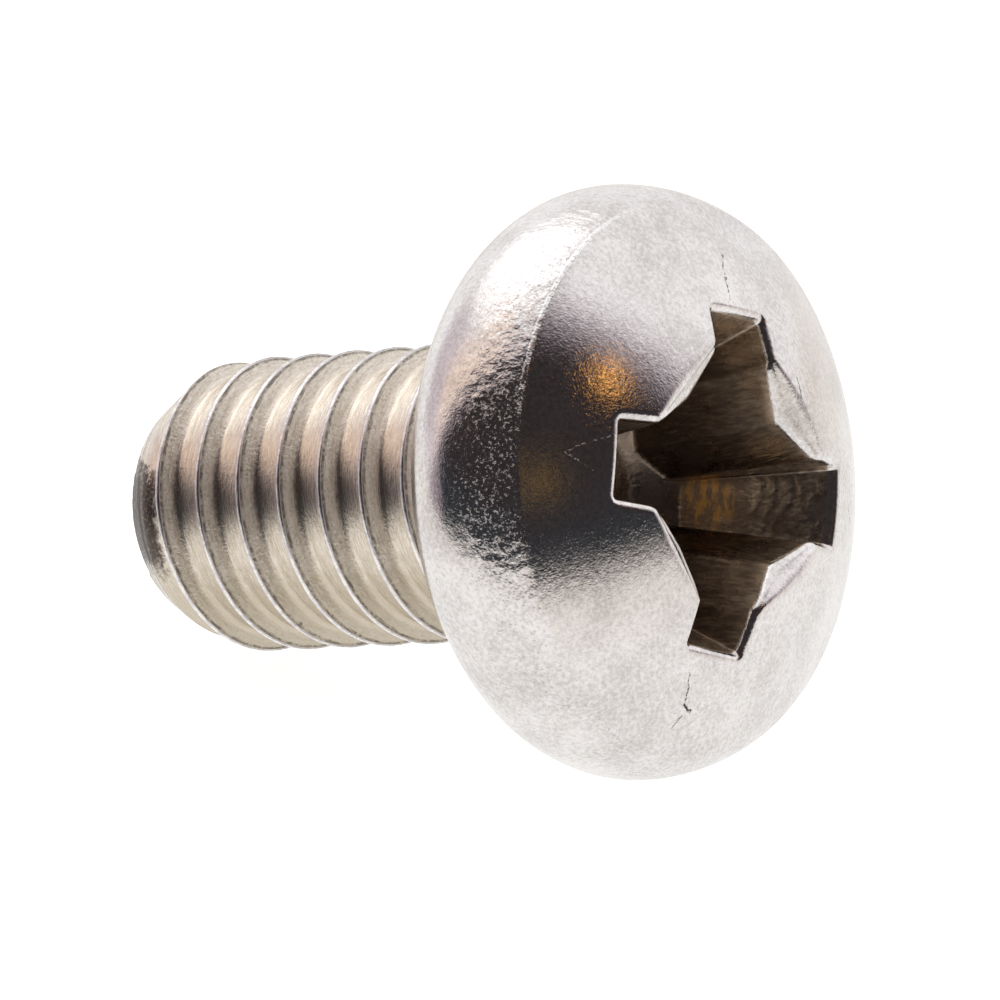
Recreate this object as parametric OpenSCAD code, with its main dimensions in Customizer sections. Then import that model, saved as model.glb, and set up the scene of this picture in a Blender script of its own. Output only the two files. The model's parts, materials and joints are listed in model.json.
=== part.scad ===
// Pan head machine screw with a cross recess, lying on its side at rest.
// One cold-headed piece: domed head, rolled right-hand thread, tapered end.
// Millimetres, +Z up. The screw rests on the rim of its head and on the
// last full crest near its end, head towards +X.

/* [Thread] */
// Diameter over the thread crests
thread_d = 3.93; // [3.7:0.01:4.1]
// Rise of the thread in one turn
pitch = 0.7; // [0.6:0.05:0.8]
// Radial height from root to crest
thread_depth = 0.22; // [0.18:0.01:0.44]
// Width of the flat along a crest
crest_flat = 0.09; // [0.05:0.01:0.14]
// Angle between the two flanks
flank_angle = 60; // [55:1:62]
// Height along the axis at which a crest passes the underside line
thread_phase = -0.214; // [-0.4:0.01:0]
// Flat steps in one turn of the thread
thread_steps = 48; // [24:4:60]

/* [Shank] */
// Length from the bearing face to the end of the screw
length = 6.2; // [5:0.1:10]
// Diameter of the flat end face
end_d = 3; // [2.6:0.05:3.2]
// Length of the tapered lead at the end
end_taper = 0.8; // [0.6:0.05:1.2]
// Diameter of the plain neck under the head
neck_d = 3.48; // [3.2:0.02:3.6]
// Depth of the last full crest below the bearing face
full_thread_from = 1.05; // [0.95:0.05:1.6]
// Length over which the thread runs out towards the neck
thread_runout = 0.63; // [0.4:0.01:0.63]
// Radius of the fillet under the head
fillet_r = 0.32; // [0.2:0.01:0.4]

/* [Head] */
// Largest diameter of the head
head_d = 7.62; // [7.3:0.02:8.2]
// Height of the head from the bearing face to the top of the crown
head_h = 3.24; // [2.9:0.02:3.4]
// Radius of the rounded edge next to the bearing face
rim_r = 1.08; // [0.8:0.01:1.2]
// Diameter of the crease between the rounded side and the crown
crease_d = 7.06; // [6.7:0.02:7.2]
// Height of the crease above the bearing face
crease_h = 2.04; // [1.8:0.02:2.2]

/* [Recess] */
// Span from wing end to wing end where the wings break the crown
recess_m = 4.32; // [4.2:0.02:4.8]
// Width of a wing at its end, at the crown
wing_w = 1.02; // [0.9:0.02:1.2]
// Distance across opposite teeth, at the level of the wing ends
tooth_gap = 2.54; // [2.4:0.02:2.7]
// Angle of a tooth nose between its two faces
tooth_angle = 153; // [146:1:156]
// Slope of a wing end from the axis of the screw
end_slope = 25.5; // [23:0.5:26.5]
// Draft of the wing flanks
flank_draft = 6.7; // [5.5:0.1:7.5]
// Draft of the tooth noses
nose_draft = 11; // [9:0.5:12]
// Depth from the top of the crown to the blunt bottom
recess_depth = 2.5; // [2.2:0.02:2.8]
// Diameter of the blunt bottom
blunt_d = 1.4; // [1.2:0.05:1.6]
// Slope of the conical bottom from the flat
bottom_slope = 24; // [22:1:28]
// Turn of the recess about the axis of the screw
recess_turn = 63; // [0:1:89]
// Distance of the recess from the axis of the screw, towards -Y
recess_shift = 0.3; // [0:0.02:0.4]
// Distance across opposite tooth bevels, at the level of the wing ends
bevel_gap = 2.26; // [2.1:0.02:2.4]
// Slope of a tooth bevel from the axis of the screw
bevel_slope = 58; // [54:1:62]

/* [Hidden] */
$fn = 96;

thread_r = thread_d / 2;
root_r = thread_r - thread_depth;
neck_r = neck_d / 2;
end_r = end_d / 2;
head_r = head_d / 2;
crease_r = crease_d / 2;

// Length of a flank along the axis
flank_run = thread_depth * tan(flank_angle / 2);

// Slope of the tapered end, in radius for each millimetre of length
end_slope_r = (thread_r - end_r) / end_taper;

// Side arc from the widest ring to the crease, and the crown sphere
side_rise = crease_h - rim_r;
side_in = head_r - crease_r;
side_r = (side_rise * side_rise + side_in * side_in) / (2 * side_in);
crown_rise = head_h - crease_h;
crown_r = (crease_r * crease_r + crown_rise * crown_rise) / (2 * crown_rise);
crown_z = head_h - crown_r;

// How far the thread's core reaches into the neck, and how deep the thread
// starts under the surface of the neck, so that the two are one solid
overlap = 0.2;
start_depth = 0.04;
start_r = neck_r - start_depth;
neck_l = full_thread_from - thread_runout;
fillet_edge_r = neck_r + fillet_r;

// The screw lies on the rim of its head and, at its end, on the last crest
// of full height or on the shorter crest that the taper has cut, whichever
// reaches lower. Both are on the underside line, where a crest passes the
// height thread_phase once in every pitch.
full_end_z = -length + end_taper;
rest_turn = floor((thread_phase - crest_flat / 2 - full_end_z) / pitch);
rest_z = thread_phase - rest_turn * pitch - crest_flat / 2;
cut_z = rest_z - pitch + crest_flat;
flank_slope = thread_depth / flank_run;
cut_rise = (thread_r - end_r - end_slope_r * (cut_z + length)) / (end_slope_r + flank_slope);
cut_r = thread_r - flank_slope * cut_rise;

// Tilt of the axis when the rim and a point of the shank lie on one plane
function lean(r, z) =
    let (a = head_r - rim_r - r, c = rim_r - z)
    asin(rim_r / sqrt(a * a + c * c)) + atan(a / c);
tilt = min(lean(thread_r, rest_z), lean(cut_r, cut_z + cut_rise));
rest_lift = (head_r - rim_r) * cos(tilt) + rim_r * (1 - sin(tilt));

// Reach of the lying screw along X, which centres it on the origin
reach_head = crown_z * cos(tilt) + crown_r;
reach_end = -length * cos(tilt) - end_r * sin(tilt);

// Level at which the wing ends break the crown
rim_z = crown_z + sqrt(crown_r * crown_r - recess_m * recess_m / 4);
bottom_z = head_h - recess_depth;
// The cutters run past the crown, and the one for the wings past the bottom
past_ends = 0.2;
cut_low = bottom_z - past_ends;
cut_top = head_h + past_ends;
// Level at which the planes of the tooth bevels meet on the axis
bevel_z = rim_z - bevel_gap / 2 / tan(bevel_slope);

// Turn of a nose face from the middle of its tooth, and its distance from
// the axis at the level of the wing ends
nose_turn = (180 - tooth_angle) / 2;
nose_half = tooth_gap / 2 * cos(nose_turn);

// Share of full thread height at the crest height z: it runs out at the neck
function full_share(z) =
    max(0, min(1, (thread_runout - full_thread_from - z) / thread_runout));

// Points of one thread section at step i: root, crest, crest, root
first_turn = ceil((length + thread_phase) / pitch) + 1;
last_turn = 2;
step_count = (first_turn + last_turn) * thread_steps;
function crest_z(i) = thread_phase + pitch * (i / thread_steps - first_turn);
function thread_section(i) =
    let (z = crest_z(i),
         share = full_share(z),
         root = start_r + (root_r - start_r) * share,
         crest = start_r + (thread_r - start_r) * share,
         foot = crest_flat / 2 + flank_run)
    [[root, z - foot], [crest, z - crest_flat / 2],
     [crest, z + crest_flat / 2], [root, z + foot]];
function on_turn(p, i) =
    [p[0] * cos(360 * i / thread_steps), p[0] * sin(360 * i / thread_steps), p[1]];

// Head and neck: crown, crease, rounded side, bearing face, fillet and neck,
// as one revolve
module head_section() {
    intersection() {
        union() {
            difference() {
                translate([0, crown_z]) circle(r = crown_r);
                translate([-crown_r, crease_h - 2 * crown_r]) square(2 * crown_r);
            }
            intersection() {
                translate([head_r - side_r, rim_r]) circle(r = side_r);
                translate([0, rim_r]) square([head_r, crease_h - rim_r]);
            }
            translate([0, rim_r]) square([head_r - side_r, crease_h - rim_r]);
            translate([head_r - rim_r, rim_r]) circle(r = rim_r);
            square([head_r - rim_r, rim_r]);
            translate([0, -fillet_r]) difference() {
                square([fillet_edge_r, fillet_r]);
                translate([fillet_edge_r, 0]) circle(r = fillet_r);
            }
            translate([0, -neck_l]) square([neck_r, neck_l]);
        }
        translate([0, -neck_l]) square([head_r, head_h + neck_l]);
    }
}

module recessed_head() {
    difference() {
        rotate_extrude() head_section();
        drive_recess();
    }
}

// Thread and core in one closed skin, longer than the shank at both ends
module thread_skin() {
    skin = [for (i = [0:step_count]) for (p = thread_section(i)) on_turn(p, i)];
    low = len(skin);
    high = low + 1;
    ends = [[0, 0, crest_z(0)], [0, 0, crest_z(step_count)]];
    last = 4 * step_count;
    walls = [
        for (i = [0:step_count - 1]) for (k = [0:2])
            each [[4 * i + k, 4 * i + k + 1, 4 * i + k + 5],
                  [4 * i + k, 4 * i + k + 5, 4 * i + k + 4]]
    ];
    roots = [
        for (i = [0:step_count - thread_steps - 1])
            let (a = 4 * i + 3, b = 4 * (i + thread_steps))
            each [[a, b, b + 4], [a, b + 4, a + 4]]
    ];
    low_ramp = [for (i = [0:thread_steps - 1]) [low, 4 * i, 4 * i + 4]];
    high_ramp = [
        for (i = [step_count - thread_steps:step_count - 1])
            [high, 4 * i + 7, 4 * i + 3]
    ];
    low_step = [
        for (k = [0:2]) [low, k + 1, k],
        [low, 4 * thread_steps, 3]
    ];
    high_step = [
        for (k = [0:2]) [high, last + k, last + k + 1],
        [high, last - 4 * thread_steps + 3, last]
    ];
    faces = concat(walls, roots, low_ramp, high_ramp, low_step, high_step);
    polyhedron(points = concat(skin, ends), faces = faces);
}

// Shank: the thread skin, cut to length and given its tapered end
module threaded_shank() {
    reach = length - neck_l + overlap;
    intersection() {
        thread_skin();
        translate([0, 0, -length])
            cylinder(h = reach, r1 = end_r, r2 = end_r + end_slope_r * reach);
    }
}

// A slab across the head whose two faces lean out towards the crown, where
// half is the distance of a face from the axis at the level of the wing ends
module drafted_slab(half, draft) {
    low = half + (cut_low - rim_z) * tan(draft);
    top = half + (cut_top - rim_z) * tan(draft);
    rotate([90, 0, 0]) linear_extrude(height = head_d, center = true)
        polygon([[-low, cut_low], [low, cut_low], [top, cut_top], [-top, cut_top]]);
}

// Two opposite wings: their flanks and the faces of the four teeth beside
// them, cut off by the wing ends
module wing_pair() {
    intersection() {
        drafted_slab(recess_m / 2, end_slope);
        union() {
            rotate([0, 0, 90]) drafted_slab(wing_w / 2, flank_draft);
            intersection() {
                rotate([0, 0, 45 + nose_turn]) drafted_slab(nose_half, nose_draft);
                rotate([0, 0, -45 - nose_turn]) drafted_slab(nose_half, nose_draft);
            }
        }
    }
}

// Ridge whose two sides are the bevels on two opposite teeth
module bevel_ridge() {
    top = (cut_top - bevel_z) * tan(bevel_slope);
    rotate([90, 0, 0]) linear_extrude(height = head_d, center = true)
        polygon([[0, bevel_z], [top, cut_top], [-top, cut_top]]);
}

// Bevels on all four teeth, as one pyramid that stands on its tip
module tooth_bevels() {
    intersection() {
        rotate([0, 0, 45]) bevel_ridge();
        rotate([0, 0, -45]) bevel_ridge();
    }
}

// Recess: four drafted wings and four blunt, bevelled teeth down to a
// shallow cone
module drive_recess() {
    cone_h = cut_top + past_ends - bottom_z;
    translate([0, -recess_shift, 0]) rotate([0, 0, recess_turn]) intersection() {
        union() {
            wing_pair();
            rotate([0, 0, 90]) wing_pair();
            tooth_bevels();
        }
        translate([0, 0, bottom_z])
            cylinder(h = cone_h, r1 = blunt_d / 2,
                     r2 = blunt_d / 2 + cone_h / tan(bottom_slope));
    }
}

// The whole screw with its axis on Z and its bearing face at zero
module upright_screw() {
    recessed_head();
    threaded_shank();
}

module machine_screw() {
    color([0.80, 0.79, 0.77])
        translate([-(reach_head + reach_end) / 2, 0, rest_lift])
            rotate([0, 90 - tilt, 0])
                upright_screw();
}

machine_screw();
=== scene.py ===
"""The looks of a pan head machine screw that lies on its side.

The screw is cold-headed and thread-rolled from one length of stainless wire, so it is one closed mesh
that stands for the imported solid: a tumbled head, a punched cross recess and a rolled thread. Sizes are
millimetres in the screw's own frame, with its axis on Z, its bearing face at zero and its head above.
The record's mounts say where that frame lies, and the finished mesh is written in metres.
"""

import json
import logging
import math
from dataclasses import dataclass
from enum import Enum
from functools import partial

import bmesh
import bpy
import numpy as np
from mathutils import Matrix, Vector


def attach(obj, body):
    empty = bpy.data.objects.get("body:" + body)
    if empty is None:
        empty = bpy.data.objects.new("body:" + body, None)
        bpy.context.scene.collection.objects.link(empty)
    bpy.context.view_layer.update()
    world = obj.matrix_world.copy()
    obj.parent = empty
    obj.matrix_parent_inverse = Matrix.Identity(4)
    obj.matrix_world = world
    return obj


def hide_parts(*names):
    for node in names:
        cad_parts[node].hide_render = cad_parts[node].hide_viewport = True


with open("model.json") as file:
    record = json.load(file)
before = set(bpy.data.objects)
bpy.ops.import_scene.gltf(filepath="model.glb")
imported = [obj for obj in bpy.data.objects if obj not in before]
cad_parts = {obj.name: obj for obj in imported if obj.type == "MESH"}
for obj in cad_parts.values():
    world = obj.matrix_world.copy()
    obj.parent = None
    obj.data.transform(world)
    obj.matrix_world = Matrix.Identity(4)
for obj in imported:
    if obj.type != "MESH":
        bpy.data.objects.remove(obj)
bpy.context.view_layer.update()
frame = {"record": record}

LOG = logging.getLogger("screw")
MM = 0.001
# Points round every ring of the screw, so that head, thread and end meet point on point.
AROUND = 272
WELD_MM = 1e-4
FLAT = Vector((1, 1, 0))

Socket = bpy.types.NodeSocket
Feed = Socket | float | int | str | tuple | Vector | None


class Skin(Enum):
    """The finishes of the screw, by the material slot that each one takes."""

    HEAD = 0
    RECESS = 1
    THREAD = 2
    END = 3


class Node(Enum):
    """The nodes in use, each with its type, its output, its inputs in order, if named, and settings."""

    PLUS = ("ShaderNodeMath", 0, None, {"operation": "ADD"})
    MINUS = ("ShaderNodeMath", 0, None, {"operation": "SUBTRACT"})
    TIMES = ("ShaderNodeMath", 0, None, {"operation": "MULTIPLY"})
    OVER = ("ShaderNodeMath", 0, None, {"operation": "DIVIDE"})
    POWER = ("ShaderNodeMath", 0, None, {"operation": "POWER"})
    LEAST = ("ShaderNodeMath", 0, None, {"operation": "MINIMUM"})
    MOST = ("ShaderNodeMath", 0, None, {"operation": "MAXIMUM"})
    SOFT_LEAST = ("ShaderNodeMath", 0, None, {"operation": "SMOOTH_MIN"})
    UNDER = ("ShaderNodeMath", 0, None, {"operation": "LESS_THAN"})
    PAST = ("ShaderNodeMath", 0, None, {"operation": "GREATER_THAN"})
    UNSIGNED = ("ShaderNodeMath", 0, None, {"operation": "ABSOLUTE"})
    SINE = ("ShaderNodeMath", 0, None, {"operation": "SINE"})
    COSINE = ("ShaderNodeMath", 0, None, {"operation": "COSINE"})
    ANGLE = ("ShaderNodeMath", 0, None, {"operation": "ARCTAN2"})
    STEP = ("ShaderNodeMapRange", 0, None, {"interpolation_type": "SMOOTHSTEP"})
    JOIN = ("ShaderNodeVectorMath", "Vector", None, {"operation": "ADD"})
    AWAY = ("ShaderNodeVectorMath", "Vector", None, {"operation": "SUBTRACT"})
    STRETCH = ("ShaderNodeVectorMath", "Vector", None, {"operation": "MULTIPLY"})
    SCALE = ("ShaderNodeVectorMath", "Vector", (0, "Scale"), {"operation": "SCALE"})
    LENGTH = ("ShaderNodeVectorMath", "Value", None, {"operation": "LENGTH"})
    DOT = ("ShaderNodeVectorMath", "Value", None, {"operation": "DOT_PRODUCT"})
    SPLIT = ("ShaderNodeSeparateXYZ", 0, None, {})
    POINT = ("ShaderNodeCombineXYZ", 0, None, {})
    NOISE = ("ShaderNodeTexNoise", 0, ("Vector", "Scale", "Detail", "Roughness"), {})
    WOBBLE = ("ShaderNodeTexNoise", "Color", ("Vector", "Scale", "Detail", "Roughness"), {})
    TINT = ("ShaderNodeMix", 2, ("Factor", 6, 7), {"data_type": "RGBA"})
    READ = ("ShaderNodeAttribute", "Fac", None, {})
    BUMP = ("ShaderNodeBump", 0, ("Height", "Distance", "Strength"), {})
    PLACE = ("ShaderNodeTexCoord", "Object", None, {})
    WAY = ("ShaderNodeTexCoord", "Generated", None, {})
    LAID = ("ShaderNodeMapping", 0, None, {"vector_type": "POINT"})
    DRAWN = ("ShaderNodeMapping", 0, (0, "Scale"), {"vector_type": "POINT"})
    ACROSS = ("ShaderNodeMapping", 0, (0, "Rotation", "Scale"), {"vector_type": "TEXTURE"})
    SEEN = ("ShaderNodeLightPath", "Is Camera Ray", None, {})
    MIRRORED = ("ShaderNodeLightPath", "Is Glossy Ray", None, {})
    DULL = ("ShaderNodeBsdfDiffuse", 0, None, {})
    GLOW = ("ShaderNodeEmission", 0, None, {})
    CLEAR = ("ShaderNodeBsdfTransparent", 0, None, {})
    BOTH = ("ShaderNodeAddShader", 0, None, {})
    EITHER = ("ShaderNodeMixShader", 0, None, {})
    CURVE = ("ShaderNodeFloatCurve", 0, None, {})
    GRID = ("GeometryNodeMeshGrid", 0, None, {})
    POSITION = ("GeometryNodeInputPosition", 0, None, {})
    STORE = ("GeometryNodeStoreNamedAttribute", 0, (0, "Name", "Value"),
             {"data_type": "FLOAT", "domain": "POINT"})
    MOVE = ("GeometryNodeSetPosition", 0, (0, "Position"), {})
    WELD = ("GeometryNodeMergeByDistance", 0, (0, "Distance"), {})
    REALIZE = ("GeometryNodeRealizeInstances", 0, None, {})
    COAT = ("GeometryNodeSetMaterial", 0, (0, "Material"), {})


def linear(colour: str, strength: float = 1.0) -> tuple[float, float, float, float]:
    """Turns an sRGB hex colour into Blender's linear one.

    Args:
        colour: six hex digits.
        strength: a factor on the linear value.

    Returns:
        Red, green, blue and alpha.
    """
    parts = [int(colour[i:i + 2], 16) / 255 for i in (0, 2, 4)]
    flat = [p / 12.92 if p <= 0.04045 else ((p + 0.055) / 1.055) ** 2.4 for p in parts]
    return (*[strength * p for p in flat], 1.0)


def feed(tree: bpy.types.NodeTree, socket: Socket, value: Feed) -> None:
    """Links or sets one input.

    Args:
        tree: the tree that the input is in.
        socket: the input.
        value: another node's socket, a value, a hex colour for a colour input, or None to leave it.
    """
    if isinstance(value, Socket):
        tree.links.new(value, socket)
    elif isinstance(value, str) and socket.type == "RGBA":
        socket.default_value = linear(value)
    elif value is not None:
        socket.default_value = value


def add_node(tree: bpy.types.NodeTree, node: Node, *values: Feed, **settings: str) -> Socket:
    """Adds one node, sets it up and links it.

    Args:
        tree: the tree that the node goes into.
        node: which node.
        values: what its inputs get, in order.
        settings: the node's own properties, beyond those that it always has here.

    Returns:
        The node's wanted output.
    """
    kind, out, order, fixed = node.value
    made = tree.nodes.new(kind)
    for name, value in {**fixed, **settings}.items():
        setattr(made, name, value)
    for key, value in zip(order or range(len(values)), values):
        feed(tree, made.inputs[key], value)
    return made.outputs[out]


def rotation(degrees: float) -> np.ndarray:
    """Gives the 2D matrix of a turn."""
    c, s = math.cos(math.radians(degrees)), math.sin(math.radians(degrees))
    return np.array(((c, -s), (s, c)))


def bend(a: np.ndarray, b: np.ndarray, c: np.ndarray, t: float) -> np.ndarray:
    """Gives the point at t of the smooth bend from a to c that leans towards b."""
    return a * (1 - t) ** 2 + b * 2 * t * (1 - t) + c * t * t


def smooth(low: float, high: float, value: np.ndarray) -> np.ndarray:
    """Gives a smooth step from 0 at low to 1 at high."""
    t = np.clip((value - low) / (high - low), 0, 1)
    return t * t * (3 - 2 * t)


def rounded(path: list[np.ndarray], radii: list[float], on_line: tuple, on_arc: tuple) -> np.ndarray:
    """Samples a path of straight lines with rounded corners.

    Args:
        path: the ends and corners of the path.
        radii: a radius for each corner.
        on_line: the number of points on each line.
        on_arc: the number of points on each corner.

    Returns:
        The points, without the end of the path.
    """
    out, start = [], path[0]
    for k, corner in enumerate(path[1:-1]):
        come = (path[k] - corner) / np.linalg.norm(path[k] - corner)
        go = (path[k + 2] - corner) / np.linalg.norm(path[k + 2] - corner)
        reach = radii[k] / math.tan(math.acos(float(come @ go)) / 2)
        a, b = corner + come * reach, corner + go * reach
        out += [start + (a - start) * t for t in np.arange(on_line[k]) / on_line[k]]
        out += [bend(a, corner, b, t) for t in np.arange(on_arc[k]) / on_arc[k]]
        start = b
    out += [start + (path[-1] - start) * t for t in np.arange(on_line[-1]) / on_line[-1]]
    return np.array(out)


def trace(mapping: bpy.types.CurveMapping, points: list[tuple[float, float]]) -> None:
    """Draws a curve of straight lines.

    Args:
        mapping: the curve of a node, new and with two points.
        points: its points from left to right.
    """
    line = mapping.curves[0]
    line.points[0].location, line.points[-1].location = points[0], points[-1]
    for x, y in points[1:-1]:
        line.points.new(x, y)
    for point in line.points:
        point.handle_type = "VECTOR"
    mapping.update()


@dataclass(frozen=True)
class Lay:
    """How the screw lies: its axis towards the head and the centre of its bearing face, in metres."""

    axis: Vector
    centre: Vector

    @classmethod
    def from_record(cls, record: dict) -> "Lay":
        """Reads the lay from the mounts.

        Args:
            record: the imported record.

        Returns:
            The lay of the screw.
        """
        mounts = {mount["name"]: mount for mount in record["mounts"]}
        face = Vector(mounts["bearing_face"]["pos_m"])
        return cls(-Vector(mounts["bearing_face"]["axis"]).normalized(), Vector((face.x, 0, face.z)))

    def matrix(self) -> Matrix:
        """Gives the matrix from the screw's own millimetres to the frame's metres.

        Returns:
            The matrix, which turns, scales and places.
        """
        down = Vector((self.axis.z, 0, -self.axis.x))
        turn = Matrix((down, Vector((0, 1, 0)), self.axis)).transposed().to_4x4()
        return Matrix.Translation(self.centre) @ turn @ Matrix.Scale(MM, 4)

    def own(self, tree: bpy.types.NodeTree) -> Socket:
        """Adds the nodes that give a shading point in the screw's own millimetres.

        Args:
            tree: the tree of a material.

        Returns:
            The point.
        """
        back = self.matrix().inverted()
        return add_node(tree, Node.LAID, add_node(tree, Node.PLACE), back.translation, back.to_euler(),
                        Vector((1, 1, 1)) / MM)


@dataclass
class Rings:
    """Rings of points that are skinned into a surface, with each strip's finish and each ring's depth."""

    points: list[np.ndarray]
    skin: list[Skin]
    deep: list[float]

    def add(self, ring: np.ndarray, skin: Skin, deep: float = 0.0) -> None:
        """Adds a ring.

        Args:
            ring: its points.
            skin: the finish of the strip that leads to it.
            deep: 1 at the bottom of the recess and 0 from its lip outwards.
        """
        self.points.append(ring)
        self.skin.append(skin)
        self.deep.append(deep)


@dataclass(frozen=True)
class Recess:
    """Cross recess type H, punched a little off the middle of the head."""

    span: float = 4.32
    wing_w: float = 1.02
    tooth_gap: float = 2.54
    tooth_angle: float = 153.0
    end_slope: float = 25.5
    flank_draft: float = 6.7
    nose_draft: float = 11.0
    blunt_r: float = 0.7
    bottom_slope: float = 24.0
    turn: float = 63.0
    shift: float = 0.3
    bevel_half: float = 1.13
    bevel_slope: float = 66.0
    bevel_shift: float = 0.14
    corner_r: float = 0.06
    root_r: float = 0.25
    nose_r: float = 0.3
    lip: float = 0.12
    low_level: float = -2.2
    low_rounding: float = 0.16

    def diagonal(self, place: np.ndarray) -> tuple[np.ndarray, np.ndarray]:
        """Measures points along the diagonals of their teeth.

        Args:
            place: points on the head, seen from above.

        Returns:
            How far each one reaches, and its diagonal.
        """
        flat = (place + (0, self.shift)) @ rotation(self.turn) + (self.bevel_shift, 0)
        toward = np.where(flat >= 0, 1, -1) / math.sqrt(2)
        return (flat * toward).sum(axis=1), toward @ rotation(self.turn).T

    def outline(self, level: float, rounding: float) -> np.ndarray:
        """Gives the outline of the recess on one level.

        Args:
            level: height above the level of the wing ends, below zero inside.
            rounding: a factor on the corner radii.

        Returns:
            The points of one ring, turned and shifted.
        """
        reach = self.span / 2 + level * math.tan(math.radians(self.end_slope))
        half = self.wing_w / 2 + level * math.tan(math.radians(self.flank_draft))
        turn = math.radians(90 - self.tooth_angle / 2)
        face = self.tooth_gap / 2 * math.cos(turn) + level * math.tan(math.radians(self.nose_draft))
        lean = math.pi / 4 + turn
        root = (face - half * math.sin(lean)) / math.cos(lean)
        nose = face / math.cos(turn) / math.sqrt(2)
        path = [(reach, 0), (reach, half), (root, half), (nose, nose), (half, root), (half, reach),
                (0, reach)]
        radii = [self.corner_r, self.root_r, self.nose_r, self.root_r, self.corner_r]
        quarter = rounded([np.array(p, float) for p in path], [r * rounding for r in radii],
                          (6, 8, 8, 8, 8, 6), (5, 4, 6, 4, 5))
        rings = [quarter @ rotation(90 * k + self.turn).T for k in range(4)]
        return np.vstack(rings) + (0, -self.shift)

    def floor(self, place: np.ndarray, bottom: float) -> np.ndarray:
        """Gives the height of the shallow cone at the bottom.

        Args:
            place: points on the head, seen from above.
            bottom: the height of the blunt middle.

        Returns:
            A height for each point.
        """
        away = np.hypot(*(place - self.middle()).T) - self.blunt_r
        return bottom + np.maximum(away, 0) * math.tan(math.radians(self.bottom_slope))

    def middle(self) -> np.ndarray:
        """Gives the middle of the recess, seen from above."""
        return np.array((0, -self.shift))


@dataclass(frozen=True)
class RecessWall:
    """The wall of the recess, ruled between its outline at the wing ends and the one far down."""

    cut: Recess
    top: np.ndarray
    low: np.ndarray
    rim_z: float

    def at(self, level: np.ndarray) -> np.ndarray:
        """Gives the wall seen from above, with a level for each point."""
        return self.top + (self.low - self.top) * (level / self.cut.low_level)[:, None]

    def points(self, level: np.ndarray) -> np.ndarray:
        """Gives the wall's points in space, with a level for each one."""
        return np.column_stack((self.at(level), self.rim_z + level))


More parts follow.
